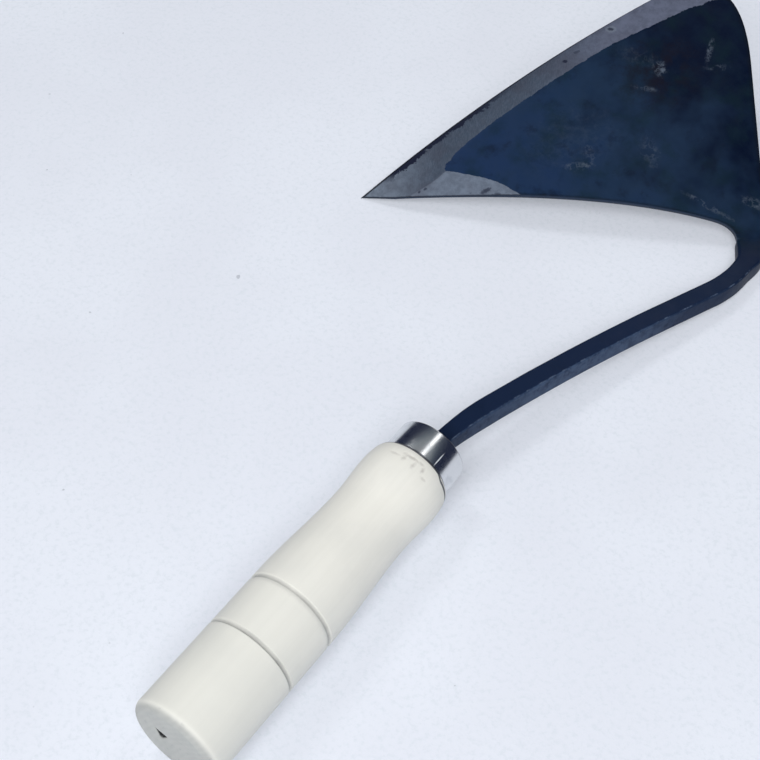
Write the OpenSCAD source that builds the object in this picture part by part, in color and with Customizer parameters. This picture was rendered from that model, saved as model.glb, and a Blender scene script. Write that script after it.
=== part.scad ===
/* [Handle] */
// Diameter of the straight barrel of the handle
grip_diameter = 32; // [26:0.5:38]
// Length of the wood from the butt face to the shoulder under the ferrule
handle_length = 120; // [115:1:170]
// Radius of the rounded edge of the butt
butt_edge = 3; // [1:0.5:5]
// Distance of the first scored groove from the butt face
groove_1_at = 35; // [25:0.5:40]
// Distance of the second scored groove from the butt face
groove_2_at = 54.5; // [45:0.5:58]
// Radius of the round tool that scores both grooves
groove_radius = 0.8; // [0.5:0.1:1.2]
// Depth of both grooves
groove_depth = 0.6; // [0.2:0.1:1]
// Distance of the thinnest place of the waist from the butt face
waist_at = 96; // [84:1:98]
// Diameter of the waist
waist_diameter = 28.6; // [25:0.2:30]
// Distance of the thickest place of the shoulder bulge from the butt face
bulge_at = 112; // [106:0.5:114]
// Diameter of the shoulder bulge
bulge_diameter = 30.4; // [29:0.2:34]
// Diameter of the wood where it meets the ferrule
shoulder_diameter = 27; // [26.4:0.2:28.4]
// Depth of the end of the wood inside the open end of the ferrule
tenon_recess = 1.4; // [0.4:0.1:3]

/* [Ferrule] */
// Outer diameter of the ferrule
ferrule_diameter = 25.6; // [24:0.2:26.2]
// Length of the ferrule
ferrule_length = 12; // [8:0.5:16]
// Wall thickness of the ferrule
ferrule_wall = 1.5; // [1:0.1:2]
// Radius of the rounded edges of the ferrule
ferrule_edge = 0.5; // [0.2:0.05:0.5]
// Gap between the wood and the inside of the ferrule on the radius
ferrule_gap = 0.05; // [0.02:0.01:0.2]

/* [Tang] */
// Length of the tang inside the wood
tang_length = 72; // [50:1:85]
// Width across the flats of the tang where it leaves the ferrule
tang_width = 6.4; // [5.4:0.1:7.4]
// Width across the flats of the tang at its point
tang_point = 4; // [3:0.1:5]
// Offset of the tang to the right of the axis of the handle
tang_aside = 0.4; // [0:0.1:1]
// Gap between the tang and the burnt-in socket on each side
tang_gap = 0.1; // [0.05:0.05:0.3]
// Space left under the point of the tang
tang_space = 1.5; // [0.5:0.1:4]

/* [Shank] */
// Width across the flats of the square bar
bar_size = 7.6; // [6:0.1:9]
// Radius of the rounded arrises of the bar
bar_edge = 1; // [0.3:0.1:1.6]
// Downward slope of the shank from the axis of the handle, degrees
shank_drop = 4.7; // [0:0.1:8]
// Lean to the right where the shank leaves the ferrule, degrees
setoff_lean = 4; // [0:0.5:6]
// Radius of the set-off bend next to the ferrule
setoff_radius = 138; // [90:2:180]
// Turn of the set-off bend to the right, degrees
setoff_angle = 11; // [5:0.5:16]
// Radius of the long sweep of the shank
sweep_radius = 900; // [600:10:1500]
// Further turn over the long sweep, degrees
sweep_angle = 5.5; // [3:0.5:8]
// Length of the straight stretch before the return bend
straight_length = 22; // [10:1:50]
// Radius of the return bend to the left
return_radius = 50; // [30:1:70]
// Turn of the return bend to the left, degrees
return_angle = 20.5; // [10:0.5:30]

/* [Neck] */
// Width of the forged neck at its first station
neck_1_width = 10; // [8:0.1:12]
// Thickness of the neck at its first station
neck_1_thick = 6.8; // [5:0.1:7.6]
// Width of the neck at its second station
neck_2_width = 12.6; // [10:0.1:15]
// Thickness of the neck at its second station
neck_2_thick = 5.2; // [4:0.1:7]
// Radius of the rounded arrises of the neck
neck_edge = 0.9; // [0.3:0.1:1.6]

/* [Blade] */
// Length of the blade in a straight line from the neck to the point
blade_length = 146; // [120:1:170]
// Height of the blade from its lower edge to the far corner
blade_height = 102.6; // [85:0.2:120]
// Thickness of the plate
blade_thick = 3; // [2:0.1:4]
// Height of the bow along the length of the blade
bow_height = 8; // [4:0.5:12]
// Angle of the blade to the line across the handle, degrees
blade_yaw = 26.8; // [10:0.1:40]
// Fall of the blade from the neck to the point, degrees
blade_fall = 2.8; // [0:0.1:5]
// Tilt that raises the far edge, degrees
blade_tilt = 24.9; // [0:0.1:40]
// Outward curve of the cutting edge
edge_curve = 2.4; // [0:0.1:6]
// Hollow of the lower edge
lower_hollow = 3.4; // [0:0.1:6]

/* [Bevels] */
// Tilt of the long ground bevel against the plate, degrees
bevel_tilt = 10.5; // [8:0.1:12]
// Distance of the middle of that bevel's curve from the middle of the blade
bevel_aside = 51.3; // [49:0.1:55]
// Height of that bevel's curve over the lower edge
bevel_lift = 22.4; // [21.8:0.1:24]
// Tilt of the small bevel at the point, degrees
point_tilt = 9; // [8:0.1:10]
// Radius of the small bevel's curve
point_radius = 500; // [450:10:600]
// Distance of the middle of the small bevel's curve from the middle of the blade
point_aside = 27.5; // [26:0.1:29]
// Height of the small bevel's curve over the lower edge
point_lift = 9.8; // [9.5:0.1:10.4]

/* [Hidden] */
fine = 96;
grip_r = grip_diameter/2;
ferrule_r = ferrule_diameter/2;
ferrule_bore = ferrule_r - ferrule_wall;
tenon_r = ferrule_bore - ferrule_gap;
exit_at = handle_length + ferrule_length;
tenon_end = exit_at - tenon_recess;
tang_end = tenon_end - tang_length;
inset = 0.06;
bow_radius = (blade_length*blade_length/4 + bow_height*bow_height)/(2*bow_height);
wood = [0.80, 0.71, 0.54];
steel = [0.72, 0.73, 0.75];
scale = [0.17, 0.20, 0.26];

// Point at share t of a curve that leaves a toward b and reaches d from c
function curve(a, b, c, d, t) =
    a*(1-t)*(1-t)*(1-t) + 3*b*t*(1-t)*(1-t) + 3*c*t*t*(1-t) + d*t*t*t;

// Point at share t of a shallow arc from a to b that stands out by h on its left
function arc_point(a, b, h, t) =
    a + (b - a)*t + [a[1] - b[1], b[0] - a[0]]/norm(b - a)*4*h*t*(1 - t);

// Smooth change from r1 to r2 over the share t
function ease(r1, r2, t) = r1 + (r2 - r1)*(1 - cos(180*t))/2;

// Square section with rounded arrises
module rounded(w, h, r) {
    square([w - 2*r, h], center = true);
    square([w, h - 2*r], center = true);
    for (x = [-1, 1])
        for (y = [-1, 1])
            translate([x*(w/2 - r), y*(h/2 - r)])
                circle(r = r, $fn = 24);
}

// Straight bar along +Y from the origin, let into the bends at both of its ends
module bar(length) {
    translate([0, length + 0.5, 0])
        rotate([90, 0, 0])
            linear_extrude(height = length + 1)
                rounded(bar_size - inset, bar_size - inset, bar_edge);
}

// Bar bent to the left about Z, from the origin
module bar_left(radius, angle) {
    translate([-radius, 0, 0])
        rotate_extrude(angle = angle, $fn = 720)
            translate([radius, 0])
                rounded(bar_size, bar_size, bar_edge);
}

// Bar bent to the right about Z, from the origin
module bar_right(radius, angle) {
    translate([radius, 0, 0])
        rotate([0, 0, 180 - angle])
            rotate_extrude(angle = angle, $fn = 720)
                translate([radius, 0])
                    rounded(bar_size, bar_size, bar_edge);
}

// Place at the end of a bend to the left
module past_left(radius, angle) {
    translate([-radius, 0, 0])
        rotate([0, 0, angle])
            translate([radius, 0, 0])
                children();
}

// Place at the end of a bend to the right
module past_right(radius, angle) {
    translate([radius, 0, 0])
        rotate([0, 0, -angle])
            translate([-radius, 0, 0])
                children();
}

// Thin slice of a forged transition, square to its length
module slice(width, thick, edge) {
    rotate([90, 0, 0])
        linear_extrude(height = 0.4, center = true)
            rounded(width, thick, edge);
}

// Four-sided taper along Y between two sizes across the flats
module taper(from, to, size_from, size_to) {
    intersection() {
        translate([0, 0, -10])
            linear_extrude(height = 20)
                polygon([
                    [-size_from/2, from],
                    [size_from/2, from],
                    [size_to/2, to],
                    [-size_to/2, to]
                ]);
        translate([10, 0, 0])
            rotate([0, -90, 0])
                linear_extrude(height = 20)
                    polygon([
                        [-size_from/2, from],
                        [size_from/2, from],
                        [size_to/2, to],
                        [-size_to/2, to]
                    ]);
    }
}

// Place at a share of the set-off bend
module at_setoff(share) {
    translate([tang_aside, exit_at, 0])
        rotate([-shank_drop, 0, -setoff_lean])
            past_right(setoff_radius, setoff_angle*share)
                children();
}

// Place at the end of the square bar
module at_neck() {
    at_setoff(1)
        past_right(sweep_radius, sweep_angle)
            translate([0, straight_length, 0])
                past_left(return_radius, return_angle)
                    children();
}

// Place of the blade: origin on its lower edge at the neck, X away from the point,
// Y toward the far edge, Z out of the upper face
module at_blade() {
    at_neck()
        rotate([shank_drop, 0, 0])
            translate([-13.4, 16.5, 3.92])
                rotate([blade_tilt, -blade_fall, blade_yaw])
                    children();
}

// Outline of the blade, flat
module blade_outline() {
    tip = [-blade_length, 0];
    far = [-28, blade_height - 2.1];
    polygon(concat(
        [for (t = [0:0.1:1]) curve(
            [-blade_length + 14, -0.4], [-blade_length + 64, lower_hollow - 0.8],
            [-38, lower_hollow + 2], [-7, 1.3], t)],
        [for (t = [0.2:0.2:1]) curve([-7, 1.3], [-0.5, 1], [2.8, -1.4], [3.4, -7], t)],
        [[14.6, -7], [15.5, -1]],
        [for (t = [0:0.2:1]) curve([15.5, -1], [15.2, 6], [12.4, 16], [9.4, 30], t)],
        [for (t = [0:0.2:1]) curve(
            [3.2, blade_height - 32.6], [1.6, blade_height - 22.6],
            [-1.2, blade_height - 12.2], [-6.6, blade_height - 6.7], t)],
        [for (t = [0.125:0.125:1]) curve(
            [-6.6, blade_height - 6.7], [-11.5, blade_height - 1.7],
            [-20.7, blade_height + 3.2], far, t)],
        [for (t = [0.125:0.125:1]) arc_point(far, tip, -edge_curve, t)]
    ));
}

// Round that bows along X and runs straight along Y
module bowed_round(aside, height, radius) {
    translate([aside - blade_length/2, 0, height - radius])
        rotate([90, 0, 0])
            cylinder(r = radius, h = 320, center = true, $fn = 720);
}

// Plate between two bowed rounds, with both ground bevels on its upper face
module blade_plate() {
    intersection() {
        translate([0, 0, -20])
            linear_extrude(height = 40)
                blade_outline();
        difference() {
            bowed_round(0, bow_height + blade_thick/2, bow_radius + blade_thick/2);
            bowed_round(0, bow_height - blade_thick/2, bow_radius - blade_thick/2);
        }
        rotate([-bevel_tilt, 0, 0])
            bowed_round(bevel_aside, bevel_lift, bow_radius);
        rotate([point_tilt, 0, 0])
            bowed_round(point_aside, point_lift, point_radius);
    }
}

// Stations of the forged neck
module neck_start() {
    at_neck()
        translate([0, -0.6, 0])
            slice(bar_size - inset, bar_size - inset, bar_edge);
}

module neck_1() {
    at_neck()
        translate([0, 7.6, 0.4])
            rotate([0, 0, 20])
                slice(neck_1_width, neck_1_thick, neck_edge);
}

module neck_2() {
    at_neck()
        translate([-2.7, 15.5, 1.2])
            rotate([8, 0, 29])
                slice(neck_2_width, neck_2_thick, neck_edge);
}

module neck_end() {
    at_blade()
        translate([9.2, 2, -2.1])
            slice(12.4, blade_thick - inset, neck_edge);
}

// One forging: tang, square bar, neck and blade
module head() {
    color(scale) {
        translate([tang_aside, 0, 0])
            taper(tang_end, exit_at, tang_point, tang_width);
        hull() {
            at_setoff(0)
                translate([0, -0.4, 0])
                    slice(tang_width - inset, tang_width - inset, bar_edge);
            at_setoff(0.5)
                slice((tang_width + bar_size)/2, (tang_width + bar_size)/2, bar_edge);
        }
        hull() {
            at_setoff(0.5)
                slice((tang_width + bar_size)/2, (tang_width + bar_size)/2, bar_edge);
            at_setoff(1)
                translate([0, 0.6, 0])
                    slice(bar_size - inset, bar_size - inset, bar_edge);
        }
        at_setoff(1) {
            bar_right(sweep_radius, sweep_angle);
            past_right(sweep_radius, sweep_angle) {
                bar(straight_length);
                translate([0, straight_length, 0])
                    bar_left(return_radius, return_angle);
            }
        }
        hull() {
            neck_start();
            neck_1();
        }
        hull() {
            neck_1();
            neck_2();
        }
        hull() {
            neck_2();
            neck_end();
        }
        at_blade()
            blade_plate();
    }
}

module ferrule() {
    color(steel)
        translate([0, handle_length, 0])
            rotate([-90, 0, 0])
                rotate_extrude($fn = fine)
                    translate([ferrule_r - ferrule_wall/2, ferrule_length/2])
                        rounded(ferrule_wall, ferrule_length, ferrule_edge);
}

module handle() {
    color(wood)
        difference() {
            rotate([-90, 0, 0])
                rotate_extrude($fn = fine)
                    polygon(concat(
                        [[0, 0]],
                        [for (a = [0:15:90]) [
                            grip_r - butt_edge + butt_edge*sin(a),
                            butt_edge - butt_edge*cos(a)
                        ]],
                        [for (t = [0:0.1:1]) [
                            ease(grip_r, waist_diameter/2, t),
                            groove_2_at + 3 + (waist_at - groove_2_at - 3)*t
                        ]],
                        [for (t = [0.2:0.2:1]) [
                            ease(waist_diameter/2, bulge_diameter/2, t),
                            waist_at + (bulge_at - waist_at)*t
                        ]],
                        [for (a = [15:15:90]) [
                            shoulder_diameter/2 + (bulge_diameter - shoulder_diameter)/2*cos(a),
                            bulge_at + (handle_length - bulge_at)*sin(a)
                        ]],
                        [
                            [tenon_r, handle_length],
                            [tenon_r, tenon_end],
                            [0, tenon_end]
                        ]
                    ));
            for (y = [groove_1_at, groove_2_at])
                translate([0, y, 0])
                    rotate([-90, 0, 0])
                        rotate_extrude($fn = fine)
                            translate([grip_r + groove_radius - groove_depth, 0])
                                circle(r = groove_radius, $fn = 24);
            translate([tang_aside, 0, 0])
                taper(
                    tang_end - tang_space,
                    exit_at,
                    tang_point + 2*tang_gap,
                    tang_width + 2*tang_gap
                );
        }
}

head();
ferrule();
handle();
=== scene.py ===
import math

import bmesh
import bpy
from mathutils import Euler, Matrix, Vector, noise


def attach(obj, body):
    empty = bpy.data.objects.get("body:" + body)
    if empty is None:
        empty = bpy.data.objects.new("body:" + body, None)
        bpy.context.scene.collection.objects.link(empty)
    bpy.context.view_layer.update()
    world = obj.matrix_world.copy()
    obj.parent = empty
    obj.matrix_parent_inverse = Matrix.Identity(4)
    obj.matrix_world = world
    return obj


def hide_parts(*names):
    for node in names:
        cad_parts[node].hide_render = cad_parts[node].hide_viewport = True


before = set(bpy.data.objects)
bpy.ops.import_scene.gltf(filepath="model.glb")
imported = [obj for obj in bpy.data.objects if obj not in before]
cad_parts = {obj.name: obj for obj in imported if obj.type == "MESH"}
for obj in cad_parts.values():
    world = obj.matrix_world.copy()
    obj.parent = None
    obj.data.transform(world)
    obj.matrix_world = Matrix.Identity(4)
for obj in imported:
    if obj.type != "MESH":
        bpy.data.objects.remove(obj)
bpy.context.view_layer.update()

# Handle
# One piece of pale close-grained wood, turned on a lathe and left bare: a straight grip
# with two scored grooves, a slim waist and a swelling under the shoulder. The end inside
# the ferrule has the tapered square socket that holds the tang.

# Sizes of the hoe are in millimetres, and places along it start at the butt face.
GRIP_RADIUS = 16.0
BUTT_EDGE = 3.0
GROOVES_AT = (35.0, 54.5)
GROOVE_RADIUS, GROOVE_DEPTH = 0.8, 0.6
TAPER_FROM = GROOVES_AT[1] + 3
WAIST_AT, WAIST_RADIUS = 96.0, 14.3
BULGE_AT, BULGE_RADIUS = 112.0, 15.2
SHOULDER_AT, SHOULDER_RADIUS = 120.0, 13.5
TENON_RADIUS, TENON_END = 11.25, 130.6
SOCKET_WIDTH, SOCKET_POINT, SOCKET_END = 6.6, 4.2, 57.1
TANG_ASIDE = 0.4

# The turned skin: steps round it, rings on the butt, and gaps between the rings along it.
HANDLE_STEPS = 160
BUTT_RINGS, BUTT_EDGE_RINGS = 30, 10
PLAIN_GAP, SHOULDER_GAP, GROOVE_GAP = 1.0, 0.5, 0.2
GROOVE_REACH = 1.1

# A three-cornered nick in the butt face: its middle and the way that each side faces.
NICK_AT = (-4.3, 1.3)
NICK_SIDES = ((0.25, 0.97), (0.78, -0.62), (-0.95, -0.30))
NICK_DEPTH, NICK_TAPER, NICK_STEEPNESS = 1.5, 0.6, 2.6

# Knocks in the shoulder: angle round the handle in degrees, distance from the butt,
# length round, length along and depth.
KNOCKED_FROM, KNOCKED_TO = 108.0, 119.5
KNOCKED_RADIUS = 15.0
KNOCKS = (
    (9, 116.6, 2.2, 0.45, 0.34),
    (2, 114.9, 0.6, 1.0, 0.24),
    (17, 114.4, 0.5, 1.2, 0.24),
    (-12, 114.8, 1.6, 0.4, 0.2),
    (30, 115.4, 0.5, 1.0, 0.3),
    (37, 113.1, 0.9, 0.4, 0.2),
    (24, 116.9, 1.0, 0.4, 0.24),
)


def ease(start, end, share):
    """A value that leaves start and comes to end gently."""
    return start + (end - start) * (1 - math.cos(math.pi * share)) / 2


def handle_radius(y):
    """Radius of the turned wood between its butt edge and its shoulder."""
    if y < TAPER_FROM:
        radius = GRIP_RADIUS
    elif y < WAIST_AT:
        share = (y - TAPER_FROM) / (WAIST_AT - TAPER_FROM)
        radius = ease(GRIP_RADIUS, WAIST_RADIUS, share)
    elif y < BULGE_AT:
        radius = ease(WAIST_RADIUS, BULGE_RADIUS, (y - WAIST_AT) / (BULGE_AT - WAIST_AT))
    else:
        share = min((y - BULGE_AT) / (SHOULDER_AT - BULGE_AT), 1)
        radius = SHOULDER_RADIUS + (BULGE_RADIUS - SHOULDER_RADIUS) * math.sqrt(1 - share**2)
    for groove in GROOVES_AT:
        reach = GROOVE_RADIUS**2 - (y - groove) ** 2
        if reach > 0:
            depth = math.sqrt(reach) - (GROOVE_RADIUS - GROOVE_DEPTH)
            radius = min(radius, GRIP_RADIUS - max(depth, 0))
    return radius


def handle_profile():
    """Half outline of the wood, from the middle of the butt to the end of the tenon."""
    butt_radius = GRIP_RADIUS - BUTT_EDGE
    outline = [(butt_radius * i / BUTT_RINGS, 0.0) for i in range(BUTT_RINGS + 1)]
    for i in range(1, BUTT_EDGE_RINGS + 1):
        a = math.radians(90 * i / BUTT_EDGE_RINGS)
        outline.append((butt_radius + BUTT_EDGE * math.sin(a), BUTT_EDGE * (1 - math.cos(a))))
    y = BUTT_EDGE
    while y < SHOULDER_AT - 0.6:
        near_groove = min(abs(y - groove) for groove in GROOVES_AT) < GROOVE_REACH
        y += GROOVE_GAP if near_groove else SHOULDER_GAP if y > KNOCKED_FROM else PLAIN_GAP
        outline.append((handle_radius(y), y))
    for gap in (0.3, 0.1, 0.0):
        outline.append((handle_radius(SHOULDER_AT - gap), SHOULDER_AT - gap))
    return outline + [(TENON_RADIUS, SHOULDER_AT), (TENON_RADIUS, TENON_END)]


def inside_nick(x, z):
    """How far a place on the butt face lies inside the nick, 0 to 1."""
    dx, dz = x - NICK_AT[0], z - NICK_AT[1]
    inside = min(1.0 - (dx * sx + dz * sz) * NICK_TAPER for sx, sz in NICK_SIDES)
    return min(max(inside, 0) * NICK_STEEPNESS, 1)


def knock_depth(angle, y):
    """Depth of the knocks in the shoulder at an angle round the wood and a distance."""
    depth = 0.0
    for middle, distance, wide, tall, deep in KNOCKS:
        ragged = 0.5 * noise.noise(Vector((angle * 0.31, y * 1.3, middle)))
        aside = math.radians(angle - middle) * KNOCKED_RADIUS
        gap = math.hypot(aside / wide, (y - distance) / tall) + ragged
        depth = max(depth, deep * math.exp(-gap * gap * 1.6))
    return depth


def new_piece(name, bm):
    """Makes the finished bmesh, in millimetres, a smooth piece of the hoe."""
    bmesh.ops.scale(bm, verts=bm.verts, vec=(0.001, 0.001, 0.001))
    for face in bm.faces:
        face.smooth = True
    mesh = bpy.data.meshes.new(name)
    bm.to_mesh(mesh)
    bm.free()
    piece = bpy.data.objects.new(name, mesh)
    bpy.context.scene.collection.objects.link(piece)
    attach(piece, "root")
    return piece


def spun(outline, steps, closed=False):
    """A bmesh turned round the handle's axis from a half outline of (radius, distance)."""
    bm = bmesh.new()
    line = [bm.verts.new((radius, y, 0)) for radius, y in outline]
    for a, b in zip(line, line[1:]):
        bm.edges.new((a, b))
    if closed:
        bm.edges.new((line[-1], line[0]))
    bmesh.ops.spin(
        bm,
        geom=bm.verts[:] + bm.edges[:],
        cent=(0, 0, 0),
        axis=(0, 1, 0),
        angle=math.tau,
        steps=steps,
        use_merge=True,
    )
    bmesh.ops.remove_doubles(bm, verts=bm.verts, dist=1e-4)
    return bm


def extruded(bm, edges):
    """Extrudes a ring of edges, and gives the new edges and their vertices."""
    made = bmesh.ops.extrude_edge_only(bm, edges=edges)["geom"]
    new_edges = [part for part in made if isinstance(part, bmesh.types.BMEdge)]
    return new_edges, {vert for edge in new_edges for vert in edge.verts}


def square_place(angle, width):
    """The place on a square outline that lies at an angle from its middle."""
    x, z = math.cos(angle), math.sin(angle)
    reach = width / 2 / max(abs(x), abs(z))
    return x * reach, z * reach


bm = spun(handle_profile(), HANDLE_STEPS)
# The tenon's end face runs in from its round rim to a square mouth, and the socket tapers
# from there to its floor.
rim = [edge for edge in bm.edges if edge.is_boundary]
for middle, width, y in ((0, SOCKET_WIDTH, TENON_END), (TANG_ASIDE, SOCKET_POINT, SOCKET_END)):
    rim, verts = extruded(bm, rim)
    for vert in verts:
        x, z = square_place(math.atan2(vert.co.z, vert.co.x - middle), width)
        vert.co = (x + TANG_ASIDE, y, z)
bmesh.ops.contextual_create(bm, geom=rim)
bmesh.ops.recalc_face_normals(bm, faces=bm.faces)
for vert in bm.verts:
    x, y, z = vert.co
    if y < 0.001:
        vert.co.y += NICK_DEPTH * inside_nick(x, z)
    elif KNOCKED_FROM < y <= KNOCKED_TO:
        depth = knock_depth(math.degrees(math.atan2(x, z)), y)
        vert.co.x -= depth * x / math.hypot(x, z)
        vert.co.z -= depth * z / math.hypot(x, z)
handle = new_piece("turned_handle", bm)
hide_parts("handle")


def add(tree, kind, inputs=None, **settings):
    """A new shader node; an input is given a value, or a link from another node's socket."""
    made = tree.nodes.new("ShaderNode" + kind)
    for name, value in settings.items():
        setattr(made, name, value)
    for name, value in (inputs or {}).items():
        if isinstance(value, bpy.types.NodeSocket):
            tree.links.new(value, made.inputs[name])
        else:
            made.inputs[name].default_value = value
    return made


def maths(tree, operation, *values, clamp=False):
    """The result of a Math node."""
    node = add(tree, "Math", dict(enumerate(values)), operation=operation, use_clamp=clamp)
    return node.outputs[0]


def times(tree, first, *others):
    """The product of masks or numbers."""
    for value in others:
        first = maths(tree, "MULTIPLY", first, value)
    return first


def strongest(tree, masks):
    """The highest of several masks."""
    highest = masks[0]
    for mask in masks[1:]:
        highest = maths(tree, "MAXIMUM", highest, mask)
    return highest


def between(tree, value, low, high, to_low=0.0, to_high=1.0):
    """A smooth step of a value from low to high."""
    limits = {"Value": value, 1: low, 2: high, 3: to_low, 4: to_high}
    return add(tree, "MapRange", limits, interpolation_type="SMOOTHSTEP").outputs[0]


def cloud(tree, place, scale, detail=2.0, rough=0.5):
    """Soft noise, from 0 to 1, with a scale in shapes per millimetre."""
    inputs = {"Vector": place, "Scale": scale, "Detail": detail, "Roughness": rough}
    return add(tree, "TexNoise", inputs).outputs["Fac"]


def centred_cloud(tree, place, scale, detail, rough):
    """Soft noise about nought, for ragged edges."""
    return maths(tree, "SUBTRACT", cloud(tree, place, scale, detail, rough), 0.5)


def blend(tree, share, colour_a, colour_b):
    """A mix of two colours: the first where the share is 0, the second where it is 1."""
    node = add(tree, "Mix", {0: share, 6: colour_a, 7: colour_b}, data_type="RGBA")
    return node.outputs[2]


def painted(tree, colour, mask, strength, paint):
    """A colour with paint over it where the mask is 1, at a strength."""
    return blend(tree, times(tree, mask, strength), colour, paint)


def rgb(red, green, blue):
    return (red, green, blue, 1.0)


def axes_of(tree, vector):
    """The X, Y and Z of a place or a direction."""
    return tuple(add(tree, "SeparateXYZ", {0: vector}).outputs)


def dented(tree, shader, relief, strength, depth):
    """Gives the shader a fine relief; its depth is in metres."""
    bump = add(tree, "Bump", {"Strength": strength, "Distance": depth, "Height": relief})
    tree.links.new(bump.outputs[0], shader.inputs["Normal"])


def new_material(name, **constants):
    """A material, its tree, its Principled shader and places on the piece in millimetres."""
    material = bpy.data.materials.new(name)
    material.use_nodes = True
    tree = material.node_tree
    shader = tree.nodes["Principled BSDF"]
    for socket, value in constants.items():
        shader.inputs[socket.replace("_", " ")].default_value = value
    place = add(tree, "TexCoord").outputs["Object"]
    millimetres = add(tree, "Mapping", {"Vector": place, "Scale": (1000, 1000, 1000)})
    return material, tree, shader, millimetres.outputs[0]


def new_group(name, inputs, output):
    """An empty shader node group with named sockets, and its input and output nodes."""
    group = bpy.data.node_groups.new(name, "ShaderNodeTree")
    for label, kind, value in inputs:
        kind = "NodeSocket" + kind
        socket = group.interface.new_socket(label, in_out="INPUT", socket_type=kind)
        if value is not None:
            socket.default_value = value
    group.interface.new_socket(output, in_out="OUTPUT", socket_type="NodeSocketFloat")
    return group, group.nodes.new("NodeGroupInput").outputs, group.nodes.new("NodeGroupOutput")


# A single mark, such as a pit, a scuff or a knock: an oval with a ragged edge.
mark_group, taken, given = new_group(
    "mark",
    [
        ("Place", "Vector", None),
        ("Centre", "Vector", None),
        ("Turn", "Float", 0.0),
        ("Reach", "Vector", (1.0, 1.0, 1.0)),
        ("Ragged", "Float", 0.3),
        ("Softness", "Float", 0.3),
    ],
    "Mask",
)
from_centre = add(
    mark_group, "VectorMath", {0: taken["Place"], 1: taken["Centre"]}, operation="SUBTRACT"
).outputs[0]
turned = add(
    mark_group,
    "VectorRotate",
    {"Vector": from_centre, "Angle": taken["Turn"]},
    rotation_type="Z_AXIS",
    invert=True,
).outputs[0]
sized = add(
    mark_group, "VectorMath", {0: turned, 1: taken["Reach"]}, operation="DIVIDE"
).outputs[0]
span = add(mark_group, "VectorMath", {0: sized}, operation="LENGTH").outputs["Value"]
ragged = centred_cloud(mark_group, taken["Place"], 1.1, 3.0, 0.6)
raggedness = times(mark_group, taken["Ragged"], 4.0)
span = maths(mark_group, "MULTIPLY_ADD", ragged, raggedness, span)
outer = maths(mark_group, "ADD", 1.0, taken["Softness"])
inner = maths(mark_group, "SUBTRACT", 1.0, taken["Softness"])
mark_group.links.new(between(mark_group, span, outer, inner), given.inputs["Mask"])


def mark(tree, place, centre, reach, turn, ragged, softness):
    """Mask of one mark; centre and reach are in the millimetres of the place socket."""
    inputs = {
        "Place": place,
        "Centre": (*centre, 0),
        "Turn": math.radians(turn),
        "Reach": (*reach, 1000),
        "Ragged": ragged,
        "Softness": softness,
    }
    return add(tree, "Group", inputs, node_tree=mark_group).outputs[0]


def marks(tree, place, rows, ragged, softness):
    """Mask of many marks, from rows of centre, reach, turn and strength."""
    masks = []
    for centre, reach, turn, strength in rows:
        one = mark(tree, place, centre, reach, turn, ragged, softness)
        masks.append(times(tree, one, strength))
    return strongest(tree, masks)


# Fine lines drawn out one way: the wood's fibres and pores, and what the lathe, the
# polishing belt and the grindstone leave.
lines_group, taken, given = new_group(
    "fine_lines",
    [("Place", "Vector", None), ("Per Millimetre", "Vector", (1.0, 1.0, 1.0))],
    "Height",
)
stretched = add(
    lines_group,
    "VectorMath",
    {0: taken["Place"], 1: taken["Per Millimetre"]},
    operation="MULTIPLY",
).outputs[0]
lines_group.links.new(cloud(lines_group, stretched, 1.0, 3.0, 0.7), given.inputs["Height"])


def fine_lines(tree, place, per_millimetre):
    """Height of fine lines, with their number of shapes per millimetre along each axis."""
    inputs = {"Place": place, "Per Millimetre": per_millimetre}
    return add(tree, "Group", inputs, node_tree=lines_group).outputs[0]


def unrolled(tree, place, radius):
    """The skin of a round piece laid flat: millimetres round from the top, and along."""
    x, y, z = axes_of(tree, place)
    round_from_top = times(tree, maths(tree, "ARCTAN2", x, z), radius)
    return add(tree, "CombineXYZ", {0: round_from_top, 1: y}).outputs[0]


# Bare wood: faint fibres along the handle, pores, a softly clouded colour that is greyer
# toward the butt, and the butt face painted dark grey as shade, with rings on its end grain.
PITH = (34.0, -21.0, 0.0)  # the tree's heart, in millimetres to the right and up
wood, tree, shader, mm = new_material("bare_wood", Specular_IOR_Level=0.3)
fibres = fine_lines(tree, mm, (2.6, 0.045, 2.6))
broad = fine_lines(tree, mm, (0.55, 0.012, 0.55))
pores = fine_lines(tree, mm, (5.5, 0.35, 5.5))
lathe = fine_lines(tree, mm, (0.02, 3.2, 0.02))
across, from_butt, up = axes_of(tree, mm)
on_face = add(tree, "CombineXYZ", {0: across, 1: up}).outputs[0]
pith_to_face = add(
    tree, "VectorMath", {0: on_face, 1: PITH}, operation="SUBTRACT"
).outputs[0]
from_pith = add(tree, "VectorMath", {0: pith_to_face}, operation="LENGTH").outputs["Value"]
wavy = maths(tree, "MULTIPLY_ADD", cloud(tree, on_face, 0.12, 2.0), 2.4, from_pith)
year = maths(tree, "SINE", times(tree, wavy, 3.1))
on_butt = between(tree, from_butt, 2.4, 0.6)
colour = blend(
    tree, between(tree, broad, 0.3, 0.7), rgb(0.835, 0.82, 0.75), rgb(0.86, 0.845, 0.775)
)
fibre = between(tree, fibres, 0.42, 0.75)
colour = painted(tree, colour, fibre, 0.045, rgb(0.62, 0.59, 0.50))
pore = between(tree, pores, 0.66, 0.82)
colour = painted(tree, colour, pore, 0.12, rgb(0.45, 0.42, 0.36))
clouded = between(tree, cloud(tree, mm, 0.06, 3.0), 0.42, 0.72)
colour = painted(tree, colour, clouded, 0.16, rgb(0.60, 0.61, 0.58))
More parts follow.
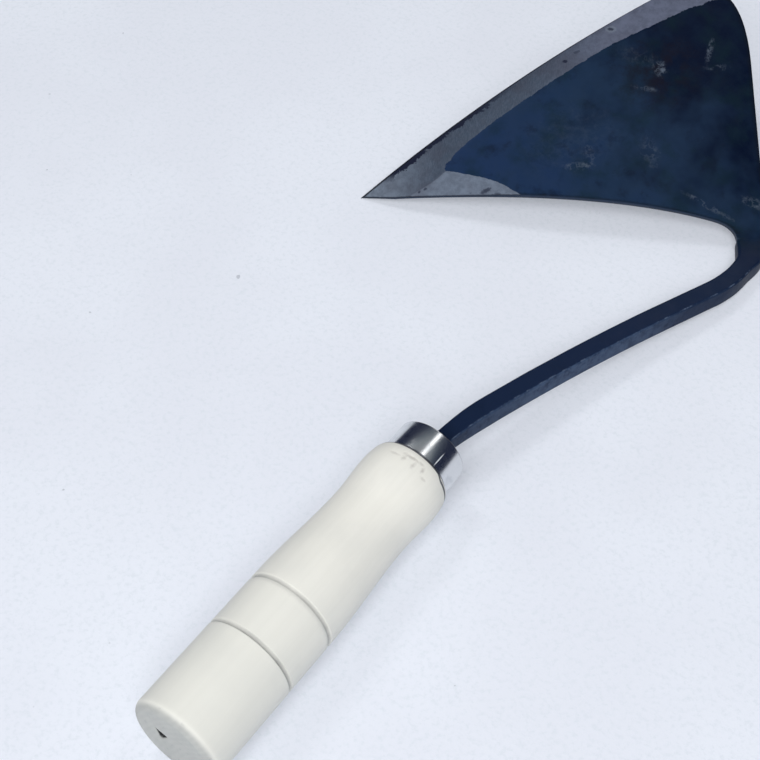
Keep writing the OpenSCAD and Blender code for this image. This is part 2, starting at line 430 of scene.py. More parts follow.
# The butt face is painted dark grey as shade, with the end grain's rings in it.
butt_shade_and_rings = maths(tree, "MULTIPLY_ADD", year, 0.025, 0.78)
butt_shade_and_rings = maths(tree, "MULTIPLY_ADD", cloud(tree, mm, 0.13, 4.0, 0.6), 0.35, butt_shade_and_rings)
colour = painted(tree, colour, on_butt, butt_shade_and_rings, rgb(0.145, 0.155, 0.17))
# Greyer toward the butt.
greyer_toward_butt = between(tree, from_butt, 100.0, 20.0)
colour = painted(tree, colour, greyer_toward_butt, 0.45, rgb(0.71, 0.715, 0.66))
specks = times(tree, on_butt, between(tree, cloud(tree, mm, 0.55, 4.0, 0.7), 0.58, 0.70))
colour = painted(tree, colour, specks, 0.4, rgb(0.20, 0.21, 0.23))

# Painted shade: grey in the grooves and in the knocks, where they are sunk into the wood.
groove_gaps = [maths(tree, "SUBTRACT", from_butt, groove) for groove in GROOVES_AT]
groove_shade = strongest(
    tree, [between(tree, maths(tree, "ABSOLUTE", gap), 1.05, 0.4) for gap in groove_gaps]
)
# The grooves are painted grey as the shade that falls in them.
patchy = maths(tree, "MULTIPLY_ADD", cloud(tree, mm, 0.12, 3.0), 0.9, 0.2)
colour = painted(tree, colour, groove_shade, patchy, rgb(0.40, 0.40, 0.38))
skin = unrolled(tree, mm, KNOCKED_RADIUS)
knock_rows = [
    ((math.radians(middle) * KNOCKED_RADIUS, distance), (wide, tall), 0, 1.5 * deep)
    for middle, distance, wide, tall, deep in KNOCKS
]
# The knocks are painted dark as the shade in them.
knock_shade = marks(tree, skin, knock_rows, 0.6, 0.95)
colour = blend(tree, knock_shade, colour, rgb(0.36, 0.33, 0.30))

# Painted shade: a thin dark line beside the ferrule, where the shoulder meets it, which leaves
# it a little on the right, and the dark inside of the nick in the butt.
on_right = between(tree, axes_of(tree, skin)[0], 12.5, 16.0)
line_from = maths(tree, "MULTIPLY_ADD", on_right, -1.2, 119.2)
line_to = maths(tree, "MULTIPLY_ADD", on_right, -1.5, 120.6)
# The line is painted shade where the wood meets the ferrule.
rim_shade_line = times(
    tree,
    between(tree, maths(tree, "SUBTRACT", from_butt, line_from), 0.0, 0.15),
    between(tree, maths(tree, "SUBTRACT", line_to, from_butt), 0.0, 0.15),
)
colour = painted(tree, colour, rim_shade_line, 0.9, rgb(0.05, 0.055, 0.075))
# The inside of the nick is painted near black as shade.
nick_shade = times(
    tree,
    mark(tree, on_face, NICK_AT, (3.4, 3.0), 0, 0.1, 0.25),
    between(tree, from_butt, 0.1, 0.5),
)
colour = blend(tree, nick_shade, colour, rgb(0.012, 0.012, 0.013))
tree.links.new(colour, shader.inputs["Base Color"])
rough = maths(tree, "MULTIPLY_ADD", fibres, 0.18, 0.5)
tree.links.new(rough, shader.inputs["Roughness"])
relief = maths(tree, "MULTIPLY_ADD", pores, -0.6, maths(tree, "ADD", fibres, lathe))
dented(tree, shader, relief, 0.2, 0.00003)
handle.data.materials.append(wood)

# Ferrule
# A short length of steel tube with rounded ends, polished on a belt while it turned, and
# pushed over the wooden end against the shoulder.
FERRULE_RADIUS, FERRULE_WALL = 12.8, 1.5
FERRULE_FROM, FERRULE_TO = 120.0, 132.0
FERRULE_EDGE = 0.5
FERRULE_STEPS, FERRULE_EDGE_STEPS = 192, 6


def ferrule_outline():
    """Outline of the tube's wall, with four rounded corners."""
    outer_edge = FERRULE_RADIUS - FERRULE_EDGE
    inner_edge = FERRULE_RADIUS - FERRULE_WALL + FERRULE_EDGE
    corners = (
        (outer_edge, FERRULE_TO - FERRULE_EDGE),
        (inner_edge, FERRULE_TO - FERRULE_EDGE),
        (inner_edge, FERRULE_FROM + FERRULE_EDGE),
        (outer_edge, FERRULE_FROM + FERRULE_EDGE),
    )
    outline = []
    for k, (radius, y) in enumerate(corners):
        for i in range(FERRULE_EDGE_STEPS + 1):
            a = math.radians(90 * k + 90 * i / FERRULE_EDGE_STEPS)
            outline.append((radius + FERRULE_EDGE * math.cos(a), y + FERRULE_EDGE * math.sin(a)))
    return outline


bm = spun(ferrule_outline(), FERRULE_STEPS, closed=True)
bmesh.ops.recalc_face_normals(bm, faces=bm.faces)
ferrule = new_piece("steel_ferrule", bm)
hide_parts("ferrule")

# Polished steel: fine belt lines round the tube, thin haze, rims painted dark as shade, one
# small nick painted dark as its shade and one raised scratch painted pale as its glint. Their
# places are millimetres round from the top, and from the butt.
DENT_AT = (-5.2, 124.4)
SCRATCH_AT = (8.75, 123.8)
polish, tree, shader, mm = new_material("polished_steel")
belt = fine_lines(tree, mm, (0.12, 9.0, 0.12))
fine_belt = fine_lines(tree, mm, (0.5, 34.0, 0.5))
from_butt = axes_of(tree, mm)[1]
skin = unrolled(tree, mm, FERRULE_RADIUS)
# The small nick is painted dark as the shade in it.
shaded_nick = mark(tree, skin, DENT_AT, (0.5, 0.28), 30, 0.3, 0.4)
# A real raised scratch, painted pale as the glint that it catches.
scratch_and_glint = mark(tree, skin, SCRATCH_AT, (0.2, 2.6), 0, 0.08, 0.6)
haze = between(tree, cloud(tree, mm, 0.22, 4.0, 0.6), 0.45, 0.75)
# The rims are painted dark as the shade where the tube meets the wood and at its end.
lower_rim_shade = between(tree, from_butt, FERRULE_FROM + 1.1, FERRULE_FROM + 0.7)
upper_rim_shade = between(tree, from_butt, FERRULE_TO - 0.6, FERRULE_TO - 0.1)
shaded_rims = strongest(tree, [lower_rim_shade, upper_rim_shade])
colour = blend(tree, haze, rgb(0.72, 0.73, 0.74), rgb(0.60, 0.62, 0.64))
colour = painted(tree, colour, shaded_rims, 0.85, rgb(0.05, 0.055, 0.08))
colour = blend(tree, shaded_nick, colour, rgb(0.16, 0.17, 0.2))
colour = blend(tree, scratch_and_glint, colour, rgb(0.80, 0.84, 0.88))
tree.links.new(colour, shader.inputs["Base Color"])
metallic = maths(tree, "MULTIPLY_ADD", scratch_and_glint, -0.8, 1.0)
tree.links.new(metallic, shader.inputs["Metallic"])
rough = maths(tree, "MULTIPLY_ADD", haze, 0.08, 0.19)
rough = maths(tree, "MULTIPLY_ADD", shaded_rims, 0.12, rough)
tree.links.new(rough, shader.inputs["Roughness"])
relief = maths(tree, "MULTIPLY_ADD", fine_belt, 0.35, belt)
relief = maths(tree, "MULTIPLY_ADD", shaded_nick, -4.0, relief)
dented(tree, shader, relief, 0.25, 0.00002)
ferrule.data.materials.append(polish)

# Head
# One steel forging: a square bar drawn down to a hidden tang, bent back near its end and
# flattened into a bowed three-cornered plate. The dark forge scale is left on, and only
# the cutting edge and the point are ground bright.

# The forging is one skin drawn over rings that all have the same number of points, from
# the tang's tip to the cutting edge.
AROUND = 132  # points across the top face of each ring, and across the bottom face
SIDE = 8  # points down each side face of each ring
CORNER = 3  # steps of each face round half an arris

# The bar: its sizes, and its bends as a radius and an angle in degrees.
BAR, BAR_EDGE = 7.6, 1.0
TANG_FROM, EXIT = 58.6, 132.0
TANG_POINT, TANG_WIDTH = 4.0, 6.4
SHANK_DROP, SHANK_LEAN = 4.7, 4.0  # degrees down, and to the right, at the ferrule
SETOFF = (138.0, 11.0)
SWEEP = (900.0, 5.5)
STRAIGHT = 22.0
RETURN = (50.0, 20.5)
TANG_RINGS_AT = (TANG_FROM + 0.4, 75, 90, 105, 118, 126, 130, 131.5)
SETOFF_RINGS, SWEEP_RINGS, STRAIGHT_RINGS, RETURN_RINGS = 20, 62, 16, 14


def turned_right(radius, angle):
    """Place at the end of a bend to the right, seen from its start."""
    there = Matrix.Translation((radius, 0, 0))
    return there @ Matrix.Rotation(-math.radians(angle), 4, "Z") @ there.inverted()


def turned_left(radius, angle):
    """Place at the end of a bend to the left, seen from its start."""
    return turned_right(-radius, -angle)


def moved(x, y, z):
    return Matrix.Translation((x, y, z))


def turned_by(x, y, z):
    """A turn by degrees round X, then Y, then Z."""
    angles = (math.radians(x), math.radians(y), math.radians(z))
    return Euler(angles, "XYZ").to_matrix().to_4x4()


exit_place = moved(TANG_ASIDE, EXIT, 0) @ turned_by(-SHANK_DROP, 0, -SHANK_LEAN)
setoff_end = exit_place @ turned_right(*SETOFF)
bend_start = setoff_end @ turned_right(*SWEEP) @ moved(0, STRAIGHT, 0)
neck_place = bend_start @ turned_left(*RETURN)


def ring_shape(width, thick, edge):
    """Places round a rounded oblong, clockwise from its upper left, as (across, up)."""
    places = []
    corners = [(-1, 1, 135), (1, 1, 45), (1, -1, -45), (-1, -1, -135)]
    for side in range(4):
        points = AROUND if side % 2 == 0 else SIDE
        x0, z0, begin = corners[side]
        x1, z1, _ = corners[(side + 1) % 4]
        start = Vector((x0 * (width / 2 - edge), z0 * (thick / 2 - edge)))
        end = Vector((x1 * (width / 2 - edge), z1 * (thick / 2 - edge)))
        for i in range(points):
            if i < CORNER:
                a = begin - 45 * i / CORNER
                middle = start
            elif i > points - CORNER:
                a = begin - 90 + 45 * (points - i) / CORNER
                middle = end
            else:
                a = begin - 45
                middle = start.lerp(end, (i - CORNER) / (points - 2 * CORNER))
            out = Vector((math.cos(math.radians(a)), math.sin(math.radians(a))))
            places.append(middle + out * edge)
    return places


def bar_ring(place, width, thick, edge):
    return [place @ Vector((x, 0, z)) for x, z in ring_shape(width, thick, edge)]


def bar_rings():
    """Rings of the tang, the set-off, the sweep, the straight bar and the return bend."""
    stretches = []
    for y in TANG_RINGS_AT:
        size = TANG_POINT + (TANG_WIDTH - TANG_POINT) * (y - TANG_FROM) / (EXIT - TANG_FROM)
        stretches.append((moved(TANG_ASIDE, y, 0), size))
    for i in range(1, SETOFF_RINGS):
        size = TANG_WIDTH + (BAR - TANG_WIDTH) * ease(0, 1, i / SETOFF_RINGS)
        place = exit_place @ turned_right(SETOFF[0], SETOFF[1] * i / SETOFF_RINGS)
        stretches.append((place, size))
    for i in range(SWEEP_RINGS):
        place = setoff_end @ turned_right(SWEEP[0], SWEEP[1] * i / SWEEP_RINGS)
        stretches.append((place, BAR))
    for i in range(1, STRAIGHT_RINGS + 1):
        stretches.append((bend_start @ moved(0, STRAIGHT * (i / STRAIGHT_RINGS - 1), 0), BAR))
    for i in range(1, RETURN_RINGS + 1):
        place = bend_start @ turned_left(RETURN[0], RETURN[1] * i / RETURN_RINGS)
        stretches.append((place, BAR))
    return [
        bar_ring(place, size, size, min(BAR_EDGE, size / 8)) for place, size in stretches
    ]


def struck(ring):
    """Shallow hammer marks on the bar, always inwards."""
    middle = sum(ring, Vector()) / len(ring)
    places = []
    for p in ring:
        depth = 0.03 + 0.05 * (1 + noise.noise(p / 8 + Vector((2, 5, 7))))
        depth += 0.02 * (1 + noise.noise(p / 2.7))
        places.append(p + (middle - p).normalized() * depth)
    return places


# The plate lies in its own frame: X away from the point, Y toward the far edge, and Z
# out of its ground face.
BLADE_TILT, BLADE_FALL, BLADE_YAW = 24.9, 2.8, 26.8  # degrees
NECK_TO_PLATE = (-13.4, 16.5, 3.92)
BOW_RADIUS, BOW_HEIGHT, BOW_MIDDLE = 337.06, 8.0, -73.0
HALF_PLATE, PLATE_EDGE = 1.5, 0.55
EDGE_CURVE = 2.4  # outward curve of the cutting edge
EDGE_THICK = 0.14
BEVEL_DROP = 2.7  # how far the long bevel falls below the bowed face at the cutting edge
PLATE_REACH = 110  # from the neck to the cutting edge, about
STATIONS, GROUND_STATIONS = 112, 16
STRUCK_DEPTH = 0.16  # mean depth of the hammer marks on the plate
blade_place = neck_place @ turned_by(SHANK_DROP, 0, 0) @ moved(*NECK_TO_PLATE)
blade_place = blade_place @ turned_by(BLADE_TILT, -BLADE_FALL, BLADE_YAW)


def flat(x, y):
    return Vector((x, y))


def straight_line(a, b):
    """A straight stretch of an outline from a to b."""
    return lambda t: a.lerp(b, t)


def curve(a, b, c, d):
    """A curved stretch of an outline from a to d, drawn toward b and c on its way."""
    return lambda t: (
        a * (1 - t) ** 3 + 3 * b * t * (1 - t) ** 2 + 3 * c * t * t * (1 - t) + d * t**3
    )


SIDE_POINTS = 600  # spread evenly along each side of the plate
STRETCH_STEPS = 80


def evenly(stretches):
    """Evenly spread points along a chain of stretches."""
    points = [stretches[0](0)]
    for stretch in stretches:
        points += [stretch(i / STRETCH_STEPS) for i in range(1, STRETCH_STEPS + 1)]
    lengths = [0.0]
    for p, q in zip(points, points[1:]):
        lengths.append(lengths[-1] + (q - p).length)
    spread, k = [], 1
    for i in range(SIDE_POINTS + 1):
        want = lengths[-1] * i / SIDE_POINTS
        while k < len(points) - 1 and lengths[k] < want:
            k += 1
        part = (want - lengths[k - 1]) / (lengths[k] - lengths[k - 1])
        spread.append(points[k - 1].lerp(points[k], min(part, 1)))
    return spread


TIP, FAR = flat(-146, 0), flat(-28, 100.5)
EDGE_OUT = flat(TIP.y - FAR.y, FAR.x - TIP.x).normalized()
lower_side = evenly([
    curve(flat(2.6, -4.6), flat(1.8, -1.6), flat(-1.6, 0.7), flat(-7, 1.3)),
    curve(flat(-7, 1.3), flat(-38, 5.4), flat(-82, 2.6), flat(-132, -0.4)),
    straight_line(flat(-132, -0.4), TIP),
])
back_side = evenly([
    curve(flat(15.4, -2.4), flat(15.2, 5), flat(12.5, 16), flat(9.6, 30)),
    straight_line(flat(9.6, 30), flat(3.4, 70)),
    curve(flat(3.4, 70), flat(1.8, 80), flat(-1.0, 90.5), flat(-6.5, 96.1)),
    curve(flat(-6.5, 96.1), flat(-11.4, 101.1), flat(-20.7, 105.8), FAR),
])


def along(side, t):
    """Place at a share of the way along a side of the plate."""
    at = min(max(t, 0), 1) * (len(side) - 1)
    i = min(int(at), len(side) - 2)
    return side[i].lerp(side[i + 1], at - i)


def on_plate(s, t):
    """Place in the plate: s from the lower to the back edge, t from neck to cutting edge."""
    place = along(lower_side, t).lerp(along(back_side, t), s)
    return place + EDGE_OUT * 4 * EDGE_CURVE * s * (1 - s) * t**6


def bowed(x, offset):
    """Height of the bowed plate at a distance above its middle surface."""
    over_centre = math.sqrt((BOW_RADIUS + offset) ** 2 - (x - BOW_MIDDLE) ** 2)
    return BOW_HEIGHT - BOW_RADIUS + over_centre


# The long bevel's inner line, in shares of the plate: it runs up from the point to a
# bend, comes nearest to the cutting edge, and falls away again toward the far corner.
LINE_BEND_AT, LINE_NEAREST_AT = 0.104, 0.42

# The point bevel's inner line is an arch: where its top lies along X and Y, how fast it
# falls to each side, and the slope of the bevel below it.
ARCH_AT, ARCH_TOP, ARCH_FALL = -112.0, 10.9, 0.0089
POINT_SLOPE = 0.15

# Extra metal where the neck flows into the plate: its middle, its reach and its height.
ROOT_AT, ROOT_REACH, ROOT_HEIGHT = (8.5, -7.0), (15.0, 17.0), 1.25


def long_line(s):
    """Share of the way to the cutting edge where the stone began on the long bevel."""
    if s < LINE_BEND_AT:
        return 0.856 - 1.06 * (LINE_BEND_AT - s)
    bend = 0.03 * math.exp((LINE_BEND_AT - s) / 0.03)
    fall = 0.22 if s > LINE_NEAREST_AT else 0.19
    return 0.902 - fall * (s - LINE_NEAREST_AT) ** 2 - bend


def long_bevel(x, y, s, t):
    """Height of the long ground bevel, which runs out to a sharp cutting edge."""
    begin = long_line(s)
    return bowed(x, HALF_PLATE) - STRUCK_DEPTH - BEVEL_DROP * (t - begin) / (1 - begin)


def point_bevel(x, y):
    """Height of the short bevel, ground last along the lower edge beside the point."""
    inner = ARCH_TOP - ARCH_FALL * (x - ARCH_AT) ** 2
    return bowed(x, HALF_PLATE) - STRUCK_DEPTH - POINT_SLOPE * (inner - y)


def hammered(x, y):
    """Depth of the hammer marks, always into the plate."""
    broad = noise.noise(Vector((x / 19, y / 19, 3.1)))
    small = noise.noise(Vector((x / 6.5, y / 6.5, 9.4)))
    fine = noise.noise(Vector((x / 2.3, y / 2.3, 17.2)))
    return 0.11 * (1 + broad) + 0.04 * (1 + small) + 0.012 * (1 + fine)


def thickening(x, y):
    """Height of the extra metal on each face where the neck flows into the plate."""
    gap = math.hypot((x - ROOT_AT[0]) / ROOT_REACH[0], (y - ROOT_AT[1]) / ROOT_REACH[1])
    share = max(1 - gap, 0)
    return ROOT_HEIGHT * share * share * (3 - 2 * share)


def forged_top(x, y):
    return bowed(x, HALF_PLATE) - hammered(x, y) + thickening(x, y)


def forged_bottom(x, y):
    """The underside, with fainter hammer marks of its own."""
    return bowed(x, -HALF_PLATE) + 0.6 * hammered(x + 300, y) - thickening(x, y)


def bevel_begins(s):
    """Share of the way to the cutting edge where the long bevel begins, by halving."""
    low, high = 0.3, 0.999
    for _ in range(24):
        t = (low + high) / 2
        x, y = on_plate(s, t)
        if long_bevel(x, y, s, t) < min(forged_top(x, y), point_bevel(x, y)):
            high = t
        else:
            low = t
    return (low + high) / 2


begins = [bevel_begins(i / AROUND) for i in range(AROUND + 1)]


def station_share(station, s):
    """Share of the way to the cutting edge; one station runs along the bevel's inner line."""
    at = s * AROUND
    i = min(int(at), AROUND - 1)
    begin = begins[i] + (begins[i + 1] - begins[i]) * (at - i)
    forged = STATIONS - GROUND_STATIONS
    if station <= forged:
        return begin * station / forged
    return begin + (1 - begin) * (station - forged) / GROUND_STATIONS


# Each point of a ring also keeps how far the forged face would stand over the long bevel
# and over the point bevel, and how far it lies from the plate's nearest edge.
UNGROUND = -3.0
BARE = (UNGROUND, UNGROUND, 30.0)


def blade_ring(station, closed=False):
    """A ring of the plate and its facts; a closed one lies in the middle of the thickness."""
    share = station / STATIONS
    width = (along(back_side, share) - along(lower_side, share)).length
    places, facts = [], []
    for k, (across, up) in enumerate(ring_shape(width, 2 * HALF_PLATE, PLATE_EDGE)):
        s = 0.5 + across / width
        t = station_share(station, s)
        x, y = on_plate(s, t)
        forged, ground, pointed = forged_top(x, y), long_bevel(x, y, s, t), point_bevel(x, y)
        bottom = forged_bottom(x, y)
        top = max(min(forged, ground, pointed), bottom + EDGE_THICK)
        height = 0.5 if closed else (up + HALF_PLATE) / (2 * HALF_PLATE)
        places.append(blade_place @ Vector((x, y, bottom + (top - bottom) * height)))
        rim = min(s * width, (1 - s) * width, (1 - t) * PLATE_REACH)
        if k <= AROUND:
            facts.append((forged - ground, forged - pointed, rim))
        else:
            facts.append((UNGROUND, UNGROUND, rim))
    return places, facts


def smooth_between(a, b, c, d, t):
    """Point between b and c on a smooth curve through all four."""
    return 0.5 * (
        2 * b + (c - a) * t + (2 * a - 5 * b + 4 * c - d) * t * t + (3 * b - a - 3 * c + d) * t**3
    )


# The neck flows from the bar to the plate through two drawn-out shapes: the place of each
# from the bar's end, its turns in degrees, and its width, thickness and edge radius.
NECK_RINGS = 10
NECK_SHAPES = (
    ((0, 7.6, 0.4), (0, 0, 20), (10, 6.8, 1.3)),
    ((-2.7, 15.5, 1.2), (8, 0, 29), (12.6, 5.2, 1.1)),
)
rings = [(struck(ring), [BARE] * len(ring)) for ring in bar_rings()]
keys = [rings[-7][0], rings[-1][0]]
for move, turn, size in NECK_SHAPES:
    place = neck_place @ moved(*move) @ turned_by(*turn)
    keys.append(struck(bar_ring(place, *size)))
keys += [blade_ring(0)[0], blade_ring(4)[0]]
for k in range(1, len(keys) - 2):
    for i in range(1, NECK_RINGS + 1):
        four = zip(*keys[k - 1 : k + 3])
        ring = [smooth_between(*points, i / NECK_RINGS) for points in four]
        rings.append((ring, [BARE] * len(ring)))
rings += [blade_ring(station) for station in range(1, STATIONS + 1)]
rings.append(blade_ring(STATIONS, closed=True))

# The skin starts as a closed end at the tang's tip and is extruded from ring to ring.
bm = bmesh.new()
order = bm.verts.layers.int.new("order")
facts_layer = bm.verts.layers.float_vector.new("grinding")
bmesh.ops.create_circle(bm, cap_ends=True, radius=1, segments=2 * (AROUND + SIDE))
for i, (vert, place) in enumerate(zip(bm.verts, rings[0][0])):
    vert[order] = i
    vert.co = place
    vert[facts_layer] = BARE
front = list(bm.edges)
for ring, facts in rings[1:]:
    front, verts = extruded(bm, front)
    for vert in verts:
        vert.co = ring[vert[order]]
        vert[facts_layer] = facts[vert[order]]
bmesh.ops.remove_doubles(bm, verts=bm.verts, dist=1e-4)
bmesh.ops.recalc_face_normals(bm, faces=bm.faces)
bm.verts.layers.int.remove(order)
head = new_piece("forged_head", bm)
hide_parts("head")

# Forge scale and ground steel in one material, parted along the ragged line where the
# stone stopped. Places on the plate are in its own frame.
scale, tree, shader, mm = new_material("forged_steel", Specular_IOR_Level=0.05)
plate = add(
    tree,
    "Mapping",
    {
        "Vector": mm,
        "Location": blade_place.translation,
        "Rotation": blade_place.to_euler(),
    },
    vector_type="TEXTURE",
).outputs[0]
plate_x, plate_y, plate_z = axes_of(tree, plate)
facts = add(tree, "Attribute", attribute_name="grinding").outputs["Vector"]
over_long, over_point, from_rim = axes_of(tree, facts)
teeth = centred_cloud(tree, plate, 0.9, 4.0, 0.65)
steps = centred_cloud(tree, plate, 0.28, 2.0, 0.5)
uneven = maths(tree, "MULTIPLY_ADD", steps, 0.35, times(tree, teeth, 0.22))
on_long = between(tree, maths(tree, "ADD", over_long, uneven), -0.01, 0.03)
on_point = between(tree, maths(tree, "MULTIPLY_ADD", uneven, 0.4, over_point), -0.01, 0.03)
point_lower = between(tree, maths(tree, "SUBTRACT", over_point, over_long), -0.02, 0.06)
point_bevel_reflection = times(tree, on_point, point_lower)
on_ground = strongest(tree, [on_long, on_point])

# Scale: a soft navy cloud, bluer toward the point and nearly black at the far corner.
tone = maths(tree, "MULTIPLY_ADD", plate_x, 0.0052, 0.17)
tone = maths(tree, "MULTIPLY_ADD", plate_y, 0.0042, tone)
tone = maths(tree, "MULTIPLY_ADD", cloud(tree, plate, 0.045, 3.0, 0.55), 0.9, tone)
navy = blend(
    tree, between(tree, tone, 0.1, 0.6), rgb(0.0105, 0.0265, 0.072), rgb(0.0112, 0.0262, 0.058)
)
navy = blend(tree, between(tree, tone, 0.45, 0.88), navy, rgb(0.0012, 0.0047, 0.0180))
mottle = between(tree, cloud(tree, mm, 0.16, 5.0, 0.62), 0.36, 0.68)
navy = painted(tree, navy, mottle, 0.13, rgb(0.015, 0.032, 0.058))
stains = between(tree, cloud(tree, mm, 0.07, 4.0, 0.6), 0.45, 0.72)
navy = painted(tree, navy, stains, 0.55, rgb(0.0045, 0.0155, 0.021))
soot = between(tree, cloud(tree, plate, 0.11, 4.0, 0.65), 0.52, 0.75)
navy = painted(tree, navy, soot, 0.6, rgb(0.0045, 0.0085, 0.021))
burnt = times(
    tree,
    mark(tree, plate, (-32, 60), (13, 12), 25, 0.35, 0.8),
    between(tree, cloud(tree, plate, 0.13, 3.0, 0.6), 0.40, 0.62),
)
navy = painted(tree, navy, burnt, 0.75, rgb(0.007, 0.0062, 0.012))
rim_dark = between(tree, maths(tree, "MULTIPLY_ADD", teeth, 3.0, from_rim), 2.6, 0.5)
navy = painted(tree, navy, rim_dark, 0.5, rgb(0.004, 0.0055, 0.009))

# The bar is blacker. Its outer side is painted paler as the floor's reflection, with a painted
# highlight along its arris, and the plate's sides and underside are painted paler as fill light
# in their shade.
BAR_OUTER_SIDE = (0.90, -0.43, 0.0)
on_bar = between(tree, plate_y, -5.0, -13.0)
navy = painted(tree, navy, on_bar, 0.75, rgb(0.0075, 0.0145, 0.040))
facing = add(tree, "NewGeometry").outputs["Normal"]
outer = add(
    tree, "VectorMath", {0: facing, 1: BAR_OUTER_SIDE}, operation="DOT_PRODUCT"
).outputs["Value"]
from_butt = axes_of(tree, mm)[1]
# The outer side of the bar is painted paler, as the floor's reflection in it.
side_reflection = times(
    tree,
    between(tree, outer, 0.35, 0.75),
    on_bar,
    between(tree, cloud(tree, mm, 0.30, 5.0, 0.7), 0.20, 0.62),
    between(tree, from_butt, 250.0, 218.0, 0.15, 0.85),
    between(tree, from_butt, 145.0, 185.0, 0.6, 1.0),
)
navy = blend(tree, side_reflection, navy, rgb(0.058, 0.090, 0.158))
# A painted highlight along the bar's upper arris.
arris_highlight = times(
    tree,
    between(tree, outer, 0.2, 0.45),
    between(tree, outer, 0.85, 0.6),
    between(tree, cloud(tree, mm, 0.25, 4.0, 0.7), 0.45, 0.65),
    on_bar,
)
navy = painted(tree, navy, arris_highlight, 0.7, rgb(0.10, 0.135, 0.20))
# The plate's sides and underside are painted paler, as fill light in their shade.
not_on_top = between(tree, axes_of(tree, facing)[2], 0.6, 0.2)
plate_sides_fill = times(tree, not_on_top, maths(tree, "SUBTRACT", 1.0, on_bar))
navy = painted(tree, navy, plate_sides_fill, 0.7, rgb(0.024, 0.040, 0.075))

# Squiggled pale scuffs where the plate was handled: contours of noise in small places,
# each with a centre, a reach, a turn and a strength.
SCUFFS = (
    ((-32.5, 61.6), (2.4, 2.8), 20, 0.9),
    ((-42.0, 66.0), (7.0, 3.0), -10, 0.16),
    ((-13.4, 72.4), (1.0, 5.0), -10, 0.8),
    ((-10.0, 65.5), (4.0, 1.2), 10, 0.45),
    ((-37.6, 52.4), (4.0, 1.0), -5, 0.5),
    ((-60.5, 16.5), (5.0, 1.6), 10, 0.5),
    ((-56.5, 22.0), (1.6, 5.0), 15, 0.35),
    ((-33.5, 25.5), (3.0, 5.0), 20, 0.3),
    ((-64.0, 28.0), (16.0, 12.0), 25, 0.07),
    ((8.2, 10.8), (4.0, 1.8), -15, 0.55),
    ((-9.3, 6.4), (8.5, 1.0), -23, 0.6),
)
contour = maths(tree, "ABSOLUTE", centred_cloud(tree, plate, 0.22, 3.0, 0.55))
thin_line = times(tree, between(tree, contour, 0.06, 0.0), 0.5)
smears = between(tree, cloud(tree, plate, 0.33, 4.0, 0.6), 0.47, 0.66)
top_only = between(tree, plate_z, -12.0, -9.0)
scuffed = times(
    tree, marks(tree, plate, SCUFFS, 0.3, 0.6), strongest(tree, [thin_line, smears]), top_only
)
navy = blend(tree, scuffed, navy, rgb(0.10, 0.125, 0.165))

# Ground steel: grey, with the lines of the stone, duller patches and grit. The short bevel
# at the point is painted brighter, as the reflection it catches.
stone = fine_lines(tree, plate, (3.2, 0.5, 0.5))
fine_stone = fine_lines(tree, plate, (9.0, 1.2, 2.0))
bright = blend(
    tree, between(tree, stone, 0.35, 0.65), rgb(0.050, 0.069, 0.102), rgb(0.076, 0.097, 0.136)
)
toward_top = between(tree, plate_x, -84.0, -46.0)
bright = painted(tree, bright, toward_top, 0.8, rgb(0.148, 0.165, 0.236))
toward_tip = between(tree, plate_x, -112.0, -142.0)
bright = painted(tree, bright, toward_tip, 0.85, rgb(0.195, 0.233, 0.295))
# The short bevel at the point is painted brighter as a reflection.
bright = painted(tree, bright, point_bevel_reflection, 0.75, rgb(0.160, 0.193, 0.250))
grit = between(tree, cloud(tree, plate, 0.35, 6.0, 0.75), 0.38, 0.66)
bright = painted(tree, bright, grit, 0.38, rgb(0.045, 0.053, 0.075))
rubbed = between(tree, cloud(tree, plate, 0.06, 3.0, 0.6), 0.45, 0.7)
bright = painted(tree, bright, rubbed, 0.3, rgb(0.050, 0.046, 0.064))

# Pits, crumbs of scale left in low places, and ragged slivers of it left along the
# cutting edge near the point. One pit has a pale ring.
RINGED_PIT_AT = (-53.2, 77.3)
PITS = (
    (RINGED_PIT_AT, (1.2, 0.8), 0, 0.8),
    ((-70.0, 61.3), (1.0, 0.8), 0, 0.9),
    ((-65.7, 66.0), (1.3, 0.7), 30, 0.5),
    ((-122.0, 2.2), (0.7, 0.5), 40, 0.7),
    ((-119.7, 3.5), (0.8, 0.5), 40, 0.7),
    ((-95.4, 3.7), (2.2, 0.8), 30, 0.7),
    ((-91.3, 2.2), (2.0, 0.7), 20, 0.6),
)
near_cut = between(tree, from_rim, 4.5, 0.5)
crumbs = times(
    tree,
    between(tree, cloud(tree, plate, 0.55, 4.0, 0.7), 0.63, 0.72),
    maths(tree, "MULTIPLY_ADD", near_cut, 0.5, 0.12),
)
ragged = centred_cloud(tree, plate, 0.30, 5.0, 0.75)
slivers = times(
    tree,
    between(tree, plate_y, 5.0, 11.0),
    between(tree, plate_x, -84.0, -104.0),
    between(tree, maths(tree, "MULTIPLY_ADD", ragged, 11.0, from_rim), 3.0, 2.2),
    between(tree, from_rim, 5.2, 4.2),
)
pitted = strongest(tree, [marks(tree, plate, PITS, 0.4, 0.35), crumbs, slivers])
pale_ring = mark(tree, plate, RINGED_PIT_AT, (2.1, 1.6), 0, 0.25, 0.25)
bright = painted(tree, bright, pale_ring, 0.6, rgb(0.17, 0.20, 0.25))
bright = blend(tree, pitted, bright, rgb(0.010, 0.013, 0.030))

